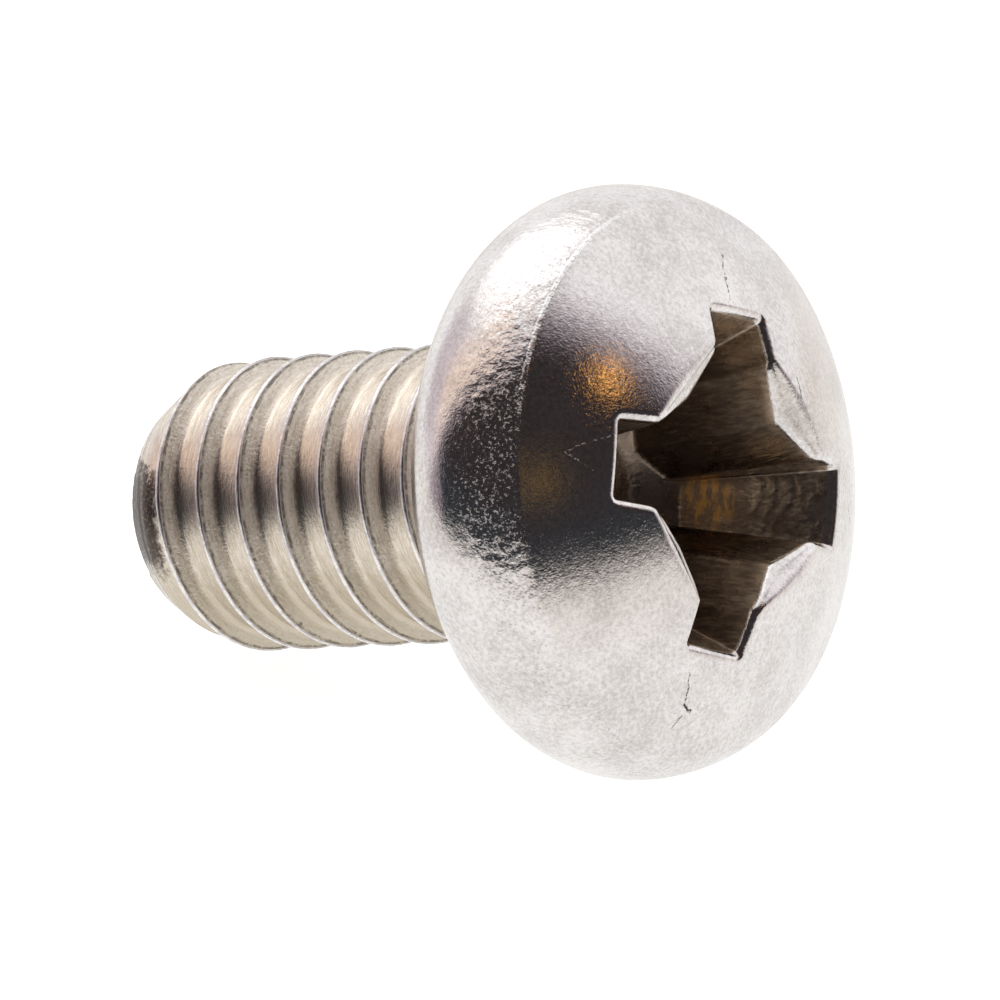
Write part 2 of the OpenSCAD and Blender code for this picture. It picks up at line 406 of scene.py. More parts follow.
@dataclass(frozen=True)
class PanHead:
    """The domed head: crown, crease, rounded side, bearing face, fillet and neck, round the recess."""

    head_r: float = 3.81
    head_h: float = 3.24
    rim_r: float = 1.08
    crease_r: float = 3.53
    crease_h: float = 2.04
    crisp_mm: float = 0.004
    worn_mm: float = 0.05
    worn_way: float = -20.0
    recess_depth: float = 2.5
    fillet_r: float = 0.32
    neck_r: float = 1.74
    neck_l: float = 0.42
    blend_r: float = 3.32
    side_from: float = 3.68
    recess: Recess = Recess()

    def crown(self, r: np.ndarray) -> np.ndarray:
        """Gives the height of the crown sphere at radius r.

        Args:
            r: radii from the axis.

        Returns:
            A height for each radius.
        """
        rise = self.head_h - self.crease_h
        sphere = (self.crease_r ** 2 + rise ** 2) / (2 * rise)
        return self.head_h - sphere + np.sqrt(sphere ** 2 - r ** 2)

    def side_arc(self) -> float:
        """Gives the radius of the arc between the crease and the widest part of the head."""
        rise, inset = self.crease_h - self.rim_r, self.head_r - self.crease_r
        return (rise ** 2 + inset ** 2) / (2 * inset)

    def side(self, r: np.ndarray | float) -> np.ndarray:
        """Gives the height of the rounded side at radius r."""
        arc = self.side_arc()
        return self.rim_r + np.sqrt(np.maximum(arc ** 2 - (r - self.head_r + arc) ** 2, 0))

    def crease(self, r: float, angle: np.ndarray) -> np.ndarray:
        """Gives the height near the crease, which is crisp on one side and worn smooth on the other.

        Args:
            r: radius from the axis.
            angle: an angle for each point.

        Returns:
            A height for each point.
        """
        worn = smooth(-0.2, 0.9, np.cos(angle - math.radians(self.worn_way)))
        soft = self.crisp_mm + self.worn_mm * worn
        gap = self.side(np.full_like(angle, r)) - self.crown(np.full_like(angle, r))
        share = np.clip(0.5 + 0.5 * gap / soft, 0, 1)
        both = self.side(r) * (1 - share) + self.crown(r) * share
        return both - soft * share * (1 - share)

    def on_crown(self, place: np.ndarray) -> np.ndarray:
        """Gives the points of the crown over flat places."""
        return np.column_stack((place, self.crown(np.hypot(*place.T))))

    def rings(self) -> Rings:
        """Builds the rings from the middle of the recess out to the end of the neck.

        Returns:
            The rings of the head.
        """
        out = Rings([], [], [])
        angle = np.radians(self.recess.turn) + 2 * np.pi * np.arange(AROUND) / AROUND
        edge = self.recess_rings(out)
        circle = self.blend_r * np.column_stack((np.cos(angle), np.sin(angle)))
        for t in np.linspace(0, 1, 24)[1:]:
            out.add(self.on_crown(edge + (circle - edge) * t), Skin.HEAD)
        # The rows are closest where the crown breaks into the side.
        for r in (*np.arange(3.36, 3.48, 0.03), *np.arange(3.48, 3.58, 0.01),
                  *np.arange(3.58, self.side_from, 0.02)):
            self.turned(out, angle, r, self.crease(r, angle))
        self.side_rings(out, angle)
        return out

    def turned(self, out: Rings, angle: np.ndarray, r: float, z: np.ndarray | float) -> None:
        """Adds a round ring.

        Args:
            out: the rings so far.
            angle: an angle for each point.
            r: the radius of the ring.
            z: its height.
        """
        ring = np.column_stack((r * np.cos(angle), r * np.sin(angle), np.broadcast_to(z, angle.shape)))
        out.add(ring, Skin.HEAD)

    def side_rings(self, out: Rings, angle: np.ndarray) -> None:
        """Adds the rounded side, the rim, the bearing face, the fillet and the neck.

        Args:
            out: the rings so far.
            angle: an angle for each point.
        """
        arc = self.side_arc()
        start = math.acos((self.side_from - self.head_r + arc) / arc)
        for a in np.linspace(start, 0, 8)[:-1]:
            self.turned(out, angle, self.head_r - arc + arc * math.cos(a), self.rim_r + arc * math.sin(a))
        for a in np.radians(np.linspace(0, -90, 20)):
            self.turned(out, angle, self.head_r - self.rim_r * (1 - math.cos(a)),
                        self.rim_r * (1 + math.sin(a)))
        foot = self.neck_r + self.fillet_r
        for r in np.linspace(self.head_r - self.rim_r, foot, 6)[1:-1]:
            self.turned(out, angle, r, 0.0)
        for a in np.radians(np.linspace(90, 180, 8)):
            self.turned(out, angle, foot + self.fillet_r * math.cos(a), self.fillet_r * (math.sin(a) - 1))
        self.turned(out, angle, self.neck_r, -self.neck_l)

    def recess_rings(self, out: Rings) -> np.ndarray:
        """Adds the floor of the recess, its walls, the bevels on its teeth and its rounded lip.

        Args:
            out: the rings so far.

        Returns:
            The outer edge of the lip on the crown.
        """
        cut = self.recess
        rim_z = float(self.crown(np.array(cut.span / 2)))
        bottom = self.head_h - self.recess_depth
        bevel = math.tan(math.radians(cut.bevel_slope))
        wall = RecessWall(cut, cut.outline(0.0, 1.0), cut.outline(cut.low_level, cut.low_rounding), rim_z)
        # The wall leans, so where it meets floor, crown and bevel is found by repeated steps.
        foot, edge, ridge = np.full(AROUND, cut.low_level), np.zeros(AROUND), np.zeros(AROUND)
        for _ in range(40):
            foot = cut.floor(wall.at(foot), bottom) - rim_z
            edge = self.crown(np.hypot(*wall.at(edge).T)) - rim_z
            ridge = (cut.diagonal(wall.at(ridge))[0] - cut.bevel_half) / bevel
        ridge = np.minimum(ridge, edge)
        reach, diagonal = cut.diagonal(wall.at(edge))
        brow = wall.at(edge)
        for _ in range(20):
            more = cut.bevel_half + (self.crown(np.hypot(*brow.T)) - rim_z) * bevel - reach
            brow = wall.at(edge) + diagonal * np.maximum(more, 0)[:, None]
        for t in (0.02, *np.linspace(0.1, 0.94, 11)):
            place = cut.middle() + (wall.at(foot) - cut.middle()) * t
            out.add(np.column_stack((place, cut.floor(place, bottom))), Skin.RECESS, 1.0)
        for t in (0.0, *np.linspace(0.04, 1, 15)):
            out.add(wall.points(foot + (ridge - cut.lip - foot) * t), Skin.RECESS, 1 - t)
        return self.lip_rings(out, wall.points(ridge), brow)

    def lip_rings(self, out: Rings, ridge: np.ndarray, brow: np.ndarray) -> np.ndarray:
        """Adds the lip, which is flat on a tooth's bevel and rounded elsewhere.

        Args:
            out: the rings so far.
            ridge: the edge in which each wall ends.
            brow: the edge in which the bevels break the crown, the same as the ridge beside them.

        Returns:
            The outer edge of the lip on the crown.
        """
        along = np.roll(brow, -3, axis=0) - np.roll(brow, 3, axis=0)
        along /= np.linalg.norm(along, axis=1)[:, None]
        away = brow + np.column_stack((along[:, 1], -along[:, 0])) * self.recess.lip
        rim, crest, foot = self.on_crown(away), self.on_crown(brow), out.points[-1]
        middle = (foot + ridge + crest + rim) / 4
        flat = smooth(0, 0.12, np.linalg.norm(crest - ridge, axis=1))[:, None]
        inner = ridge + ((foot + ridge) / 2 - ridge) * (1 - flat)
        outer = crest + ((rim + crest) / 2 - crest) * (1 - flat)
        for a, b, c in ((foot, inner, middle), (middle, outer, rim)):
            for t in (0.3, 0.55, 0.8, 1.0):
                out.add(bend(a, b, c, t), Skin.HEAD)
        return away


@dataclass(frozen=True)
class RolledShank:
    """The thread with its run-out at the neck and its tapered end, made by one geometry node tree."""

    crest_r: float = 1.965
    depth: float = 0.22
    crest_flat: float = 0.06
    flank_angle: float = 60.0
    pitch: float = 0.7
    phase: float = -0.214
    length: float = 6.2
    end_r: float = 1.5
    end_taper: float = 0.8
    end_chamfer: float = 0.02
    neck_r: float = 1.74
    neck_l: float = 0.42
    full_from: float = 1.05
    start_turn: float = 63.0
    burr: float = 0.012
    rows: int = 26

    def flank_run(self) -> float:
        """Gives how far a flank runs along the axis, as a share of the pitch."""
        return self.depth * math.tan(math.radians(self.flank_angle / 2)) / self.pitch

    def place_curve(self) -> list[tuple[float, float]]:
        """Gives the place of a row along the pitch: rows are close at the crest and at its foot.

        Returns:
            The points of the curve, both ways as shares of the pitch.
        """
        run, crest = self.flank_run(), self.crest_flat / self.pitch / 2
        return [(0.0, 0.0), (0.06, 0.46 - crest - run), (0.2, 0.53 - crest - run), (0.3, 0.48 - crest),
                (0.4, 0.505 - crest), (0.6, 0.48 + crest), (0.7, 0.52 + crest),
                (0.8, 0.47 + crest + run), (0.94, 0.54 + crest + run), (1.0, 1.0)]

    def height_curve(self) -> list[tuple[float, float]]:
        """Gives the share of the thread's depth over the pitch, with a fold beside the crest.

        Returns:
            The points of the curve, from the root over the crest to the next root.
        """
        run, crest = self.flank_run(), self.crest_flat / self.pitch / 2
        end, head = 0.5 - crest, 0.5 + crest
        return [(0.0, 0.0), (end - run - 0.03, 0.015), (end - run + 0.03, 0.17), (end - 0.01, 0.94),
                (end + 0.012, 0.99), (0.5, 1.0), (head - 0.012, 0.985), (head, 0.9), (head + 0.008, 0.78),
                (head + 0.02, 0.86), (head + run - 0.035, 0.2), (head + run + 0.035, 0.02), (1.0, 0.0)]

    def turns(self) -> int:
        """Gives the number of turns that cover the shank and run past both its ends."""
        return math.ceil((self.length - self.neck_l) / self.pitch) + 2

    def lowest(self) -> float:
        """Gives the height at which the grid starts, more than a pitch below the end."""
        at_start = self.phase + self.pitch * (self.start_turn / 360 - 0.5)
        return at_start - self.pitch * math.ceil((at_start + self.length) / self.pitch + 1)

    def inputs(self, tree: bpy.types.NodeTree) -> dict[str, Socket]:
        """Gives the tree its named inputs, each at its size, and its output.

        Args:
            tree: the new tree.

        Returns:
            The sockets that carry the sizes, by name.
        """
        sizes = {"Crest radius": self.crest_r, "Depth": self.depth, "Pitch": self.pitch,
                 "Lowest": self.lowest(), "Turns": float(self.turns()), "Length": self.length,
                 "End radius": self.end_r, "Taper slope": (self.crest_r - self.end_r) / self.end_taper,
                 "Neck radius": self.neck_r, "Neck length": self.neck_l, "Full from": self.full_from,
                 "Start turn": math.radians(self.start_turn), "Burr height": self.burr, "Weld": WELD_MM,
                 "Steps": AROUND * self.turns() + 1, "Rows": self.rows + 1}
        for name, value in sizes.items():
            kind = "NodeSocketInt" if isinstance(value, int) else "NodeSocketFloat"
            tree.interface.new_socket(name, in_out="INPUT", socket_type=kind).default_value = value
        tree.interface.new_socket("Finish", in_out="INPUT", socket_type="NodeSocketMaterial")
        tree.interface.new_socket("Thread", in_out="OUTPUT", socket_type="NodeSocketGeometry")
        return {socket.name: socket for socket in tree.nodes.new("NodeGroupInput").outputs}

    def tree(self) -> bpy.types.NodeTree:
        """Builds the node tree that winds a grid into the thread.

        Returns:
            The tree.
        """
        tree = bpy.data.node_groups.new("rolled thread", "GeometryNodeTree")
        size = self.inputs(tree)
        add = partial(add_node, tree)
        grid = add(Node.GRID, 1.0, 1.0, size["Steps"], size["Rows"])
        across, up, _ = add(Node.SPLIT, add(Node.POSITION)).node.outputs
        around = add(Node.TIMES, add(Node.PLUS, across, 0.5), size["Turns"])
        angle = add(Node.PLUS, add(Node.TIMES, around, math.tau), size["Start turn"])
        traced = [add(Node.PLUS, up, 0.5)]
        for points in (self.place_curve(), self.height_curve()):
            traced.append(add(Node.CURVE, 1.0, traced[-1]))
            trace(traced[-1].node.mapping, points)
        spot, share = traced[1:]
        raw_z = add(Node.PLUS, add(Node.TIMES, add(Node.PLUS, around, spot), size["Pitch"]), size["Lowest"])
        end_z, neck_z = [add(Node.TIMES, size[name], -1.0) for name in ("Length", "Neck length")]
        below, above = add(Node.UNDER, raw_z, end_z), add(Node.PAST, raw_z, neck_z)
        z = add(Node.MOST, add(Node.LEAST, raw_z, neck_z), end_z)
        turned = [add(node, angle) for node in (Node.COSINE, Node.SINE)]
        # Fine burrs on the crest, drawn longer along the thread than they are across it.
        burr = add(Node.NOISE, add(Node.POINT, *turned, add(Node.TIMES, z, 0.6)), 9.0, 3.0, 0.7)
        burr = add(Node.TIMES, add(Node.TIMES, add(Node.MINUS, burr, 0.5), add(Node.POWER, share, 8.0)),
                   size["Burr height"])
        root_r = add(Node.MINUS, size["Crest radius"], size["Depth"])
        cut_r = add(Node.PLUS, add(Node.PLUS, root_r, add(Node.TIMES, share, size["Depth"])), burr)
        run_out = add(Node.STEP, z, add(Node.TIMES, size["Full from"], -1.0), neck_z, 0.0, 1.0)
        faded = add(Node.PLUS, add(Node.TIMES, cut_r, add(Node.MINUS, 1.0, run_out)),
                    add(Node.TIMES, size["Neck radius"], run_out))
        limit = add(Node.PLUS, size["End radius"],
                    add(Node.TIMES, add(Node.PLUS, z, size["Length"]), size["Taper slope"]))
        tapered = add(Node.SOFT_LEAST, faded, limit, 0.05)
        # What lies past either end is folded flat there, and the weld takes it away.
        kept = add(Node.MINUS, add(Node.MINUS, 1.0, below), above)
        end_r = add(Node.MINUS, size["End radius"], self.end_chamfer)
        folded = add(Node.PLUS, add(Node.TIMES, below, end_r), add(Node.TIMES, above, size["Neck radius"]))
        radius = add(Node.PLUS, add(Node.TIMES, tapered, kept), folded)
        point = add(Node.POINT, *[add(Node.TIMES, radius, c) for c in turned], z)
        side = add(Node.SINE, add(Node.TIMES, spot, -math.tau))
        mesh = add(Node.STORE, add(Node.STORE, grid, "crest", share), "side", side)
        mesh = add(Node.WELD, add(Node.MOVE, mesh, point), size["Weld"])
        mesh = add(Node.COAT, add(Node.REALIZE, mesh), size["Finish"])
        feed(tree, tree.nodes.new("NodeGroupOutput").inputs[0], mesh)
        return tree

    def mesh(self, finish: bpy.types.Material) -> bpy.types.Mesh:
        """Winds the thread.

        Args:
            finish: the material of the thread.

        Returns:
            A plain mesh in the screw's own millimetres.
        """
        holder = bpy.data.objects.new("thread", bpy.data.meshes.new("thread"))
        bpy.context.scene.collection.objects.link(holder)
        tree = self.tree()
        winding = holder.modifiers.new("winding", "NODES")
        winding.node_group = tree
        for item in tree.interface.items_tree:
            if item.in_out == "INPUT":
                winding[item.identifier] = finish if item.name == "Finish" else item.default_value
        graph = bpy.context.evaluated_depsgraph_get()
        mesh = bpy.data.meshes.new_from_object(holder.evaluated_get(graph))
        holder.modifiers.remove(winding)
        bpy.data.objects.remove(holder)
        return mesh

    def end_rings(self) -> Rings:
        """Builds the end face, which is sheared and slightly dished, from its middle outwards.

        Returns:
            The rings of the end face.
        """
        out = Rings([], [], [])
        angle = math.radians(self.start_turn) + 2 * np.pi * np.arange(AROUND) / AROUND
        for share in (0.02, 0.1, 0.3, 0.5, 0.7, 0.85, 0.93, 0.97, 1):
            r, dish = (self.end_r - self.end_chamfer) * share, 0.05 * (1 - share ** 2)
            out.add(np.column_stack((r * np.cos(angle), r * np.sin(angle),
                                     np.full(AROUND, -self.length + dish))), Skin.END)
        return out


@dataclass(frozen=True)
class Mark:
    """A scratch, crack or tear along a path on the screw, in its own millimetres."""

    path: tuple
    width: float
    ragged: float = 0.02


class Finish:
    """A material of the screw, with the nodes that all its finishes share."""

    name: str = ""

    def __init__(self, lay: Lay) -> None:
        """Makes the material.

        Args:
            lay: how the screw lies.
        """
        self.material = bpy.data.materials.new(self.name)
        self.material.use_nodes = True
        self.tree = self.material.node_tree
        self.own = lay.own(self.tree)
        shader = self.tree.nodes["Principled BSDF"]
        for name, value in {"Metallic": 1.0, **self.build()}.items():
            feed(self.tree, shader.inputs[name], value)

    def build(self) -> dict[str, Feed]:
        """Adds the nodes of the finish and gives the inputs of its shader."""
        raise NotImplementedError

    def from_axis(self) -> Socket:
        """Adds the distance of a shading point from the screw's axis."""
        return add_node(self.tree, Node.LENGTH, add_node(self.tree, Node.STRETCH, self.own, FLAT))

    def marks(self, marks: tuple[Mark, ...]) -> Socket:
        """Adds the masks of marks.

        Args:
            marks: the marks.

        Returns:
            Their union, 1 on a mark.
        """
        add = partial(add_node, self.tree)
        wobble = add(Node.AWAY, add(Node.WOBBLE, self.own, 14.0, 3.0, 0.7), Vector((0.5, 0.5, 0.5)))
        total = 0.0
        for mark in marks:
            place = add(Node.JOIN, self.own, add(Node.STRETCH, wobble, Vector((4, 4, 4)) * mark.ragged))
            for a, b in zip(mark.path, mark.path[1:]):
                way = Vector(b) - Vector(a)
                off = add(Node.AWAY, place, Vector(a))
                share = add(Node.OVER, add(Node.DOT, off, way), way.length_squared)
                share = add(Node.LEAST, add(Node.MOST, share, 0.0), 1.0)
                away = add(Node.LENGTH, add(Node.AWAY, off, add(Node.SCALE, way, share)))
                hit = add(Node.STEP, away, mark.width * 0.35, mark.width, 1.0, 0.0)
                total = add(Node.MOST, total, hit)
        return total


class TumbledHead(Finish):
    """Stainless steel, cold-headed and tumbled.

    Tumbling gives the eye a bright, nearly mirror-like skin with a fine grain, cloudy stains and a soft
    peel, and it leaves the pitted side below the crease rougher than the crown. The grain is drawn at
    0.028 mm, since a finer one wouldn't show.
    """

    name: str = "tumbled stainless steel"
    light: str = "F1EDEC"
    stain: str = "A69E9B"
    pit: str = "6E6660"
    dirt_and_shade: str = "2E2620"
    # White for the scratches, and for the painted highlight along the crease.
    worn: str = "FFFFFF"
    chip_mm: float = 0.1
    cloud_mm: float = 0.9
    grain_mm: float = 0.028
    peel_mm: float = 0.16
    pit_mm: float = 0.045
    mottle_mm: float = 0.06
    crease_r: float = 3.54
    relief_mm: float = 0.011
    scratch: tuple[Mark, ...] = (
        Mark(((-1.251, -2.764, 2.382), (-1.272, -2.57, 2.48), (-1.254, -2.157, 2.675)), 0.013, 0.02),
        Mark(((-1.251, -2.764, 2.382), (-1.109, -2.664, 2.47), (-0.928, -2.561, 2.56)), 0.014, 0.025),
        Mark(((-0.276, -3.061, 2.357), (-0.082, -3.063, 2.363)), 0.014, 0.05))
    crack: tuple[Mark, ...] = (
        Mark(((-2.607, 1.063, 2.51), (-2.479, 0.895, 2.606), (-2.31, 0.778, 2.702),
              (-2.124, 0.63, 2.8)), 0.014, 0.035),
        Mark(((2.032, -1.685, 2.603), (2.255, -1.687, 2.509), (2.442, -1.715, 2.412)), 0.016, 0.025),
        Mark(((2.442, -1.715, 2.412), (2.578, -1.596, 2.383)), 0.03, 0.03),
        Mark(((2.7, -1.834, 2.233), (2.542, -1.695, 2.369)), 0.012, 0.02),
        Mark(((-0.853, 1.32, 3.023), (-0.673, 1.294, 3.053), (-0.517, 1.231, 3.084)), 0.014, 0.03),
        Mark(((1.137, 2.207, 2.681), (1.4, 2.31, 2.571)), 0.012, 0.02),
        Mark(((0.036, -3.442, 2.106), (0.298, -2.81, 2.504)), 0.012, 0.04))

    def build(self) -> dict[str, Feed]:
        """Adds grain, clouds, pits beside the crease, a painted highlight along the crease and the marks.

        Returns:
            The inputs of the shader.
        """
        add = partial(add_node, self.tree)
        x, y, z = add(Node.SPLIT, self.own).node.outputs
        chips = add(Node.NOISE, self.own, 1 / self.chip_mm, 4.0, 0.65)
        cloud = add(Node.NOISE, self.own, 1 / self.cloud_mm, 3.0, 0.6)
        grain = add(Node.NOISE, self.own, 1 / self.grain_mm, 2.0, 0.6)
        peel = add(Node.NOISE, self.own, 1 / self.peel_mm, 3.0, 0.55)
        mottle = add(Node.NOISE, self.own, 1 / self.mottle_mm, 5.0, 0.75)
        # The side of the head, from just below the crease down to where the rim turns under.
        beside = add(Node.TIMES, add(Node.STEP, z, 2.1, 1.96), add(Node.STEP, z, 1.0, 1.7))
        rim = add(Node.TIMES, beside, add(Node.STEP, cloud, 0.35, 0.6, 0.5, 1.0))
        pits = add(Node.STEP, add(Node.NOISE, self.own, 1 / self.pit_mm, 4.0, 0.75), 0.55, 0.72)
        # A painted highlight: a thin bright line where the crease is crisp, on the side that faces the
        # camera.
        line = add(Node.UNSIGNED, add(Node.MINUS, self.from_axis(), self.crease_r))
        line = add(Node.TIMES, add(Node.STEP, line, 0.008, 0.024, 1.0, 0.0), add(Node.STEP, z, 1.9, 2.0))
        line = add(Node.TIMES, line, add(Node.STEP, chips, 0.35, 0.5, 0.2, 1.0))
        line = add(Node.TIMES, line, add(Node.STEP, x, -1.1, -2.0))
        line = add(Node.TIMES, line, add(Node.STEP, y, 0.6, -0.4))
        scratches = add(Node.TIMES, self.marks(self.scratch), add(Node.STEP, mottle, 0.44, 0.56))
        stain = add(Node.STEP, add(Node.PLUS, mottle, add(Node.TIMES, cloud, 0.5)), 0.55, 1.0, 0.0, 0.6)
        colour = add(Node.TINT, stain, self.light, self.stain)
        colour = add(Node.TINT, add(Node.TIMES, add(Node.TIMES, pits, rim), 0.35), colour, self.pit)
        # Painted highlight along the crease.
        colour = add(Node.TINT, add(Node.TIMES, line, 0.6), colour, self.worn)
        colour = add(Node.TINT, self.marks(self.crack), colour, self.dirt_and_shade)
        colour = add(Node.TINT, add(Node.TIMES, scratches, 0.4), colour, self.worn)
        fine = add(Node.PLUS, add(Node.TIMES, chips, 0.24), add(Node.TIMES, grain, 0.2))
        coarse = add(Node.TIMES, add(Node.PLUS, peel, add(Node.TIMES, pits, -0.16)),
                     add(Node.PLUS, add(Node.TIMES, rim, 1.9), 0.13))
        height = add(Node.PLUS, add(Node.PLUS, fine, coarse), add(Node.TIMES, line, 0.5))
        rough = add(Node.PLUS, add(Node.STEP, cloud, 0.35, 0.7, 0.07, 0.15), add(Node.TIMES, scratches, 0.4))
        return {"Base Color": colour, "Roughness": rough,
                "Normal": add(Node.BUMP, height, self.relief_mm * MM, 1.0)}


class PunchedRecess(Finish):
    """Stainless steel that a punch has drawn.

    The punch gives the eye walls that are darker and browner than the head and streaked along its stroke,
    with ripples across one wing floor; the walls are painted darker still the deeper they lie, as painted
    shade, and one wing's end wall carries a striped yellow-brown painted reflection. The ripples are drawn
    0.09 mm apart, coarser than the real ones, so that they show.
    """

    name: str = "punched stainless steel"
    light: str = "E0D3C2"
    dark: str = "8F8074"
    warm_reflection: str = "DDB070"
    streak_mm: float = 0.05
    cloud_mm: float = 0.5
    ripple_mm: float = 0.09
    reflection_stripe_mm: float = 0.04
    warm_reflection_at: tuple[float, float, float] = (0.64, 0.98, 1.35)
    relief_mm: float = 0.012

    def build(self) -> dict[str, Feed]:
        """Adds streaks along the stroke, ripples across it and the amber residue.

        Returns:
            The inputs of the shader.
        """
        add = partial(add_node, self.tree)
        y = add(Node.SPLIT, self.own).node.outputs["Y"]
        drawn = add(Node.DRAWN, self.own, Vector((1, 1, 0.08)))
        streak = add(Node.NOISE, drawn, 1 / self.streak_mm, 3.0, 0.6)
        cloud = add(Node.NOISE, self.own, 1 / self.cloud_mm, 3.0, 0.6)
        # Painted shade: the deeper into the recess, the darker the wall is painted, on top of its streaks
        # and clouds.
        shade = add(Node.PLUS, add(Node.TIMES, add(Node.READ, attribute_name="deep"), 0.4),
                    add(Node.PLUS, streak, cloud))
        colour = add(Node.TINT, add(Node.STEP, shade, 0.75, 1.35), self.light, self.dark)
        out = add(Node.PLUS, self.from_axis(), add(Node.TIMES, cloud, 0.3))
        ripple = add(Node.SINE, add(Node.TIMES, out, math.tau / self.ripple_mm))
        ripple = add(Node.TIMES, ripple, add(Node.STEP, y, 0.9, 1.5))
        # Painted reflection: a warm, striped patch on one wing's end wall.
        painted_light = add(Node.LENGTH, add(Node.AWAY, self.own, Vector(self.warm_reflection_at)))
        painted_light = add(Node.TIMES, add(Node.STEP, painted_light, 0.25, 0.5, 1.0, 0.0), add(Node.STEP, cloud, 0.35, 0.55))
        across = add(Node.ACROSS, self.own, (0, 0, math.radians(Recess.turn)), Vector((1, 7, 4)))
        reflection_stripe = add(Node.STEP, add(Node.NOISE, across, 1 / self.reflection_stripe_mm, 3.0, 0.6), 0.42, 0.6, 0.1, 1.0)
        colour = add(Node.TINT, add(Node.TIMES, painted_light, reflection_stripe), colour, self.warm_reflection)
        height = add(Node.PLUS, add(Node.TIMES, streak, 0.4), add(Node.TIMES, ripple, 0.15))
        return {"Base Color": colour, "Roughness": add(Node.STEP, cloud, 0.3, 0.7, 0.18, 0.4),
                "Normal": add(Node.BUMP, height, self.relief_mm * MM, 1.0)}


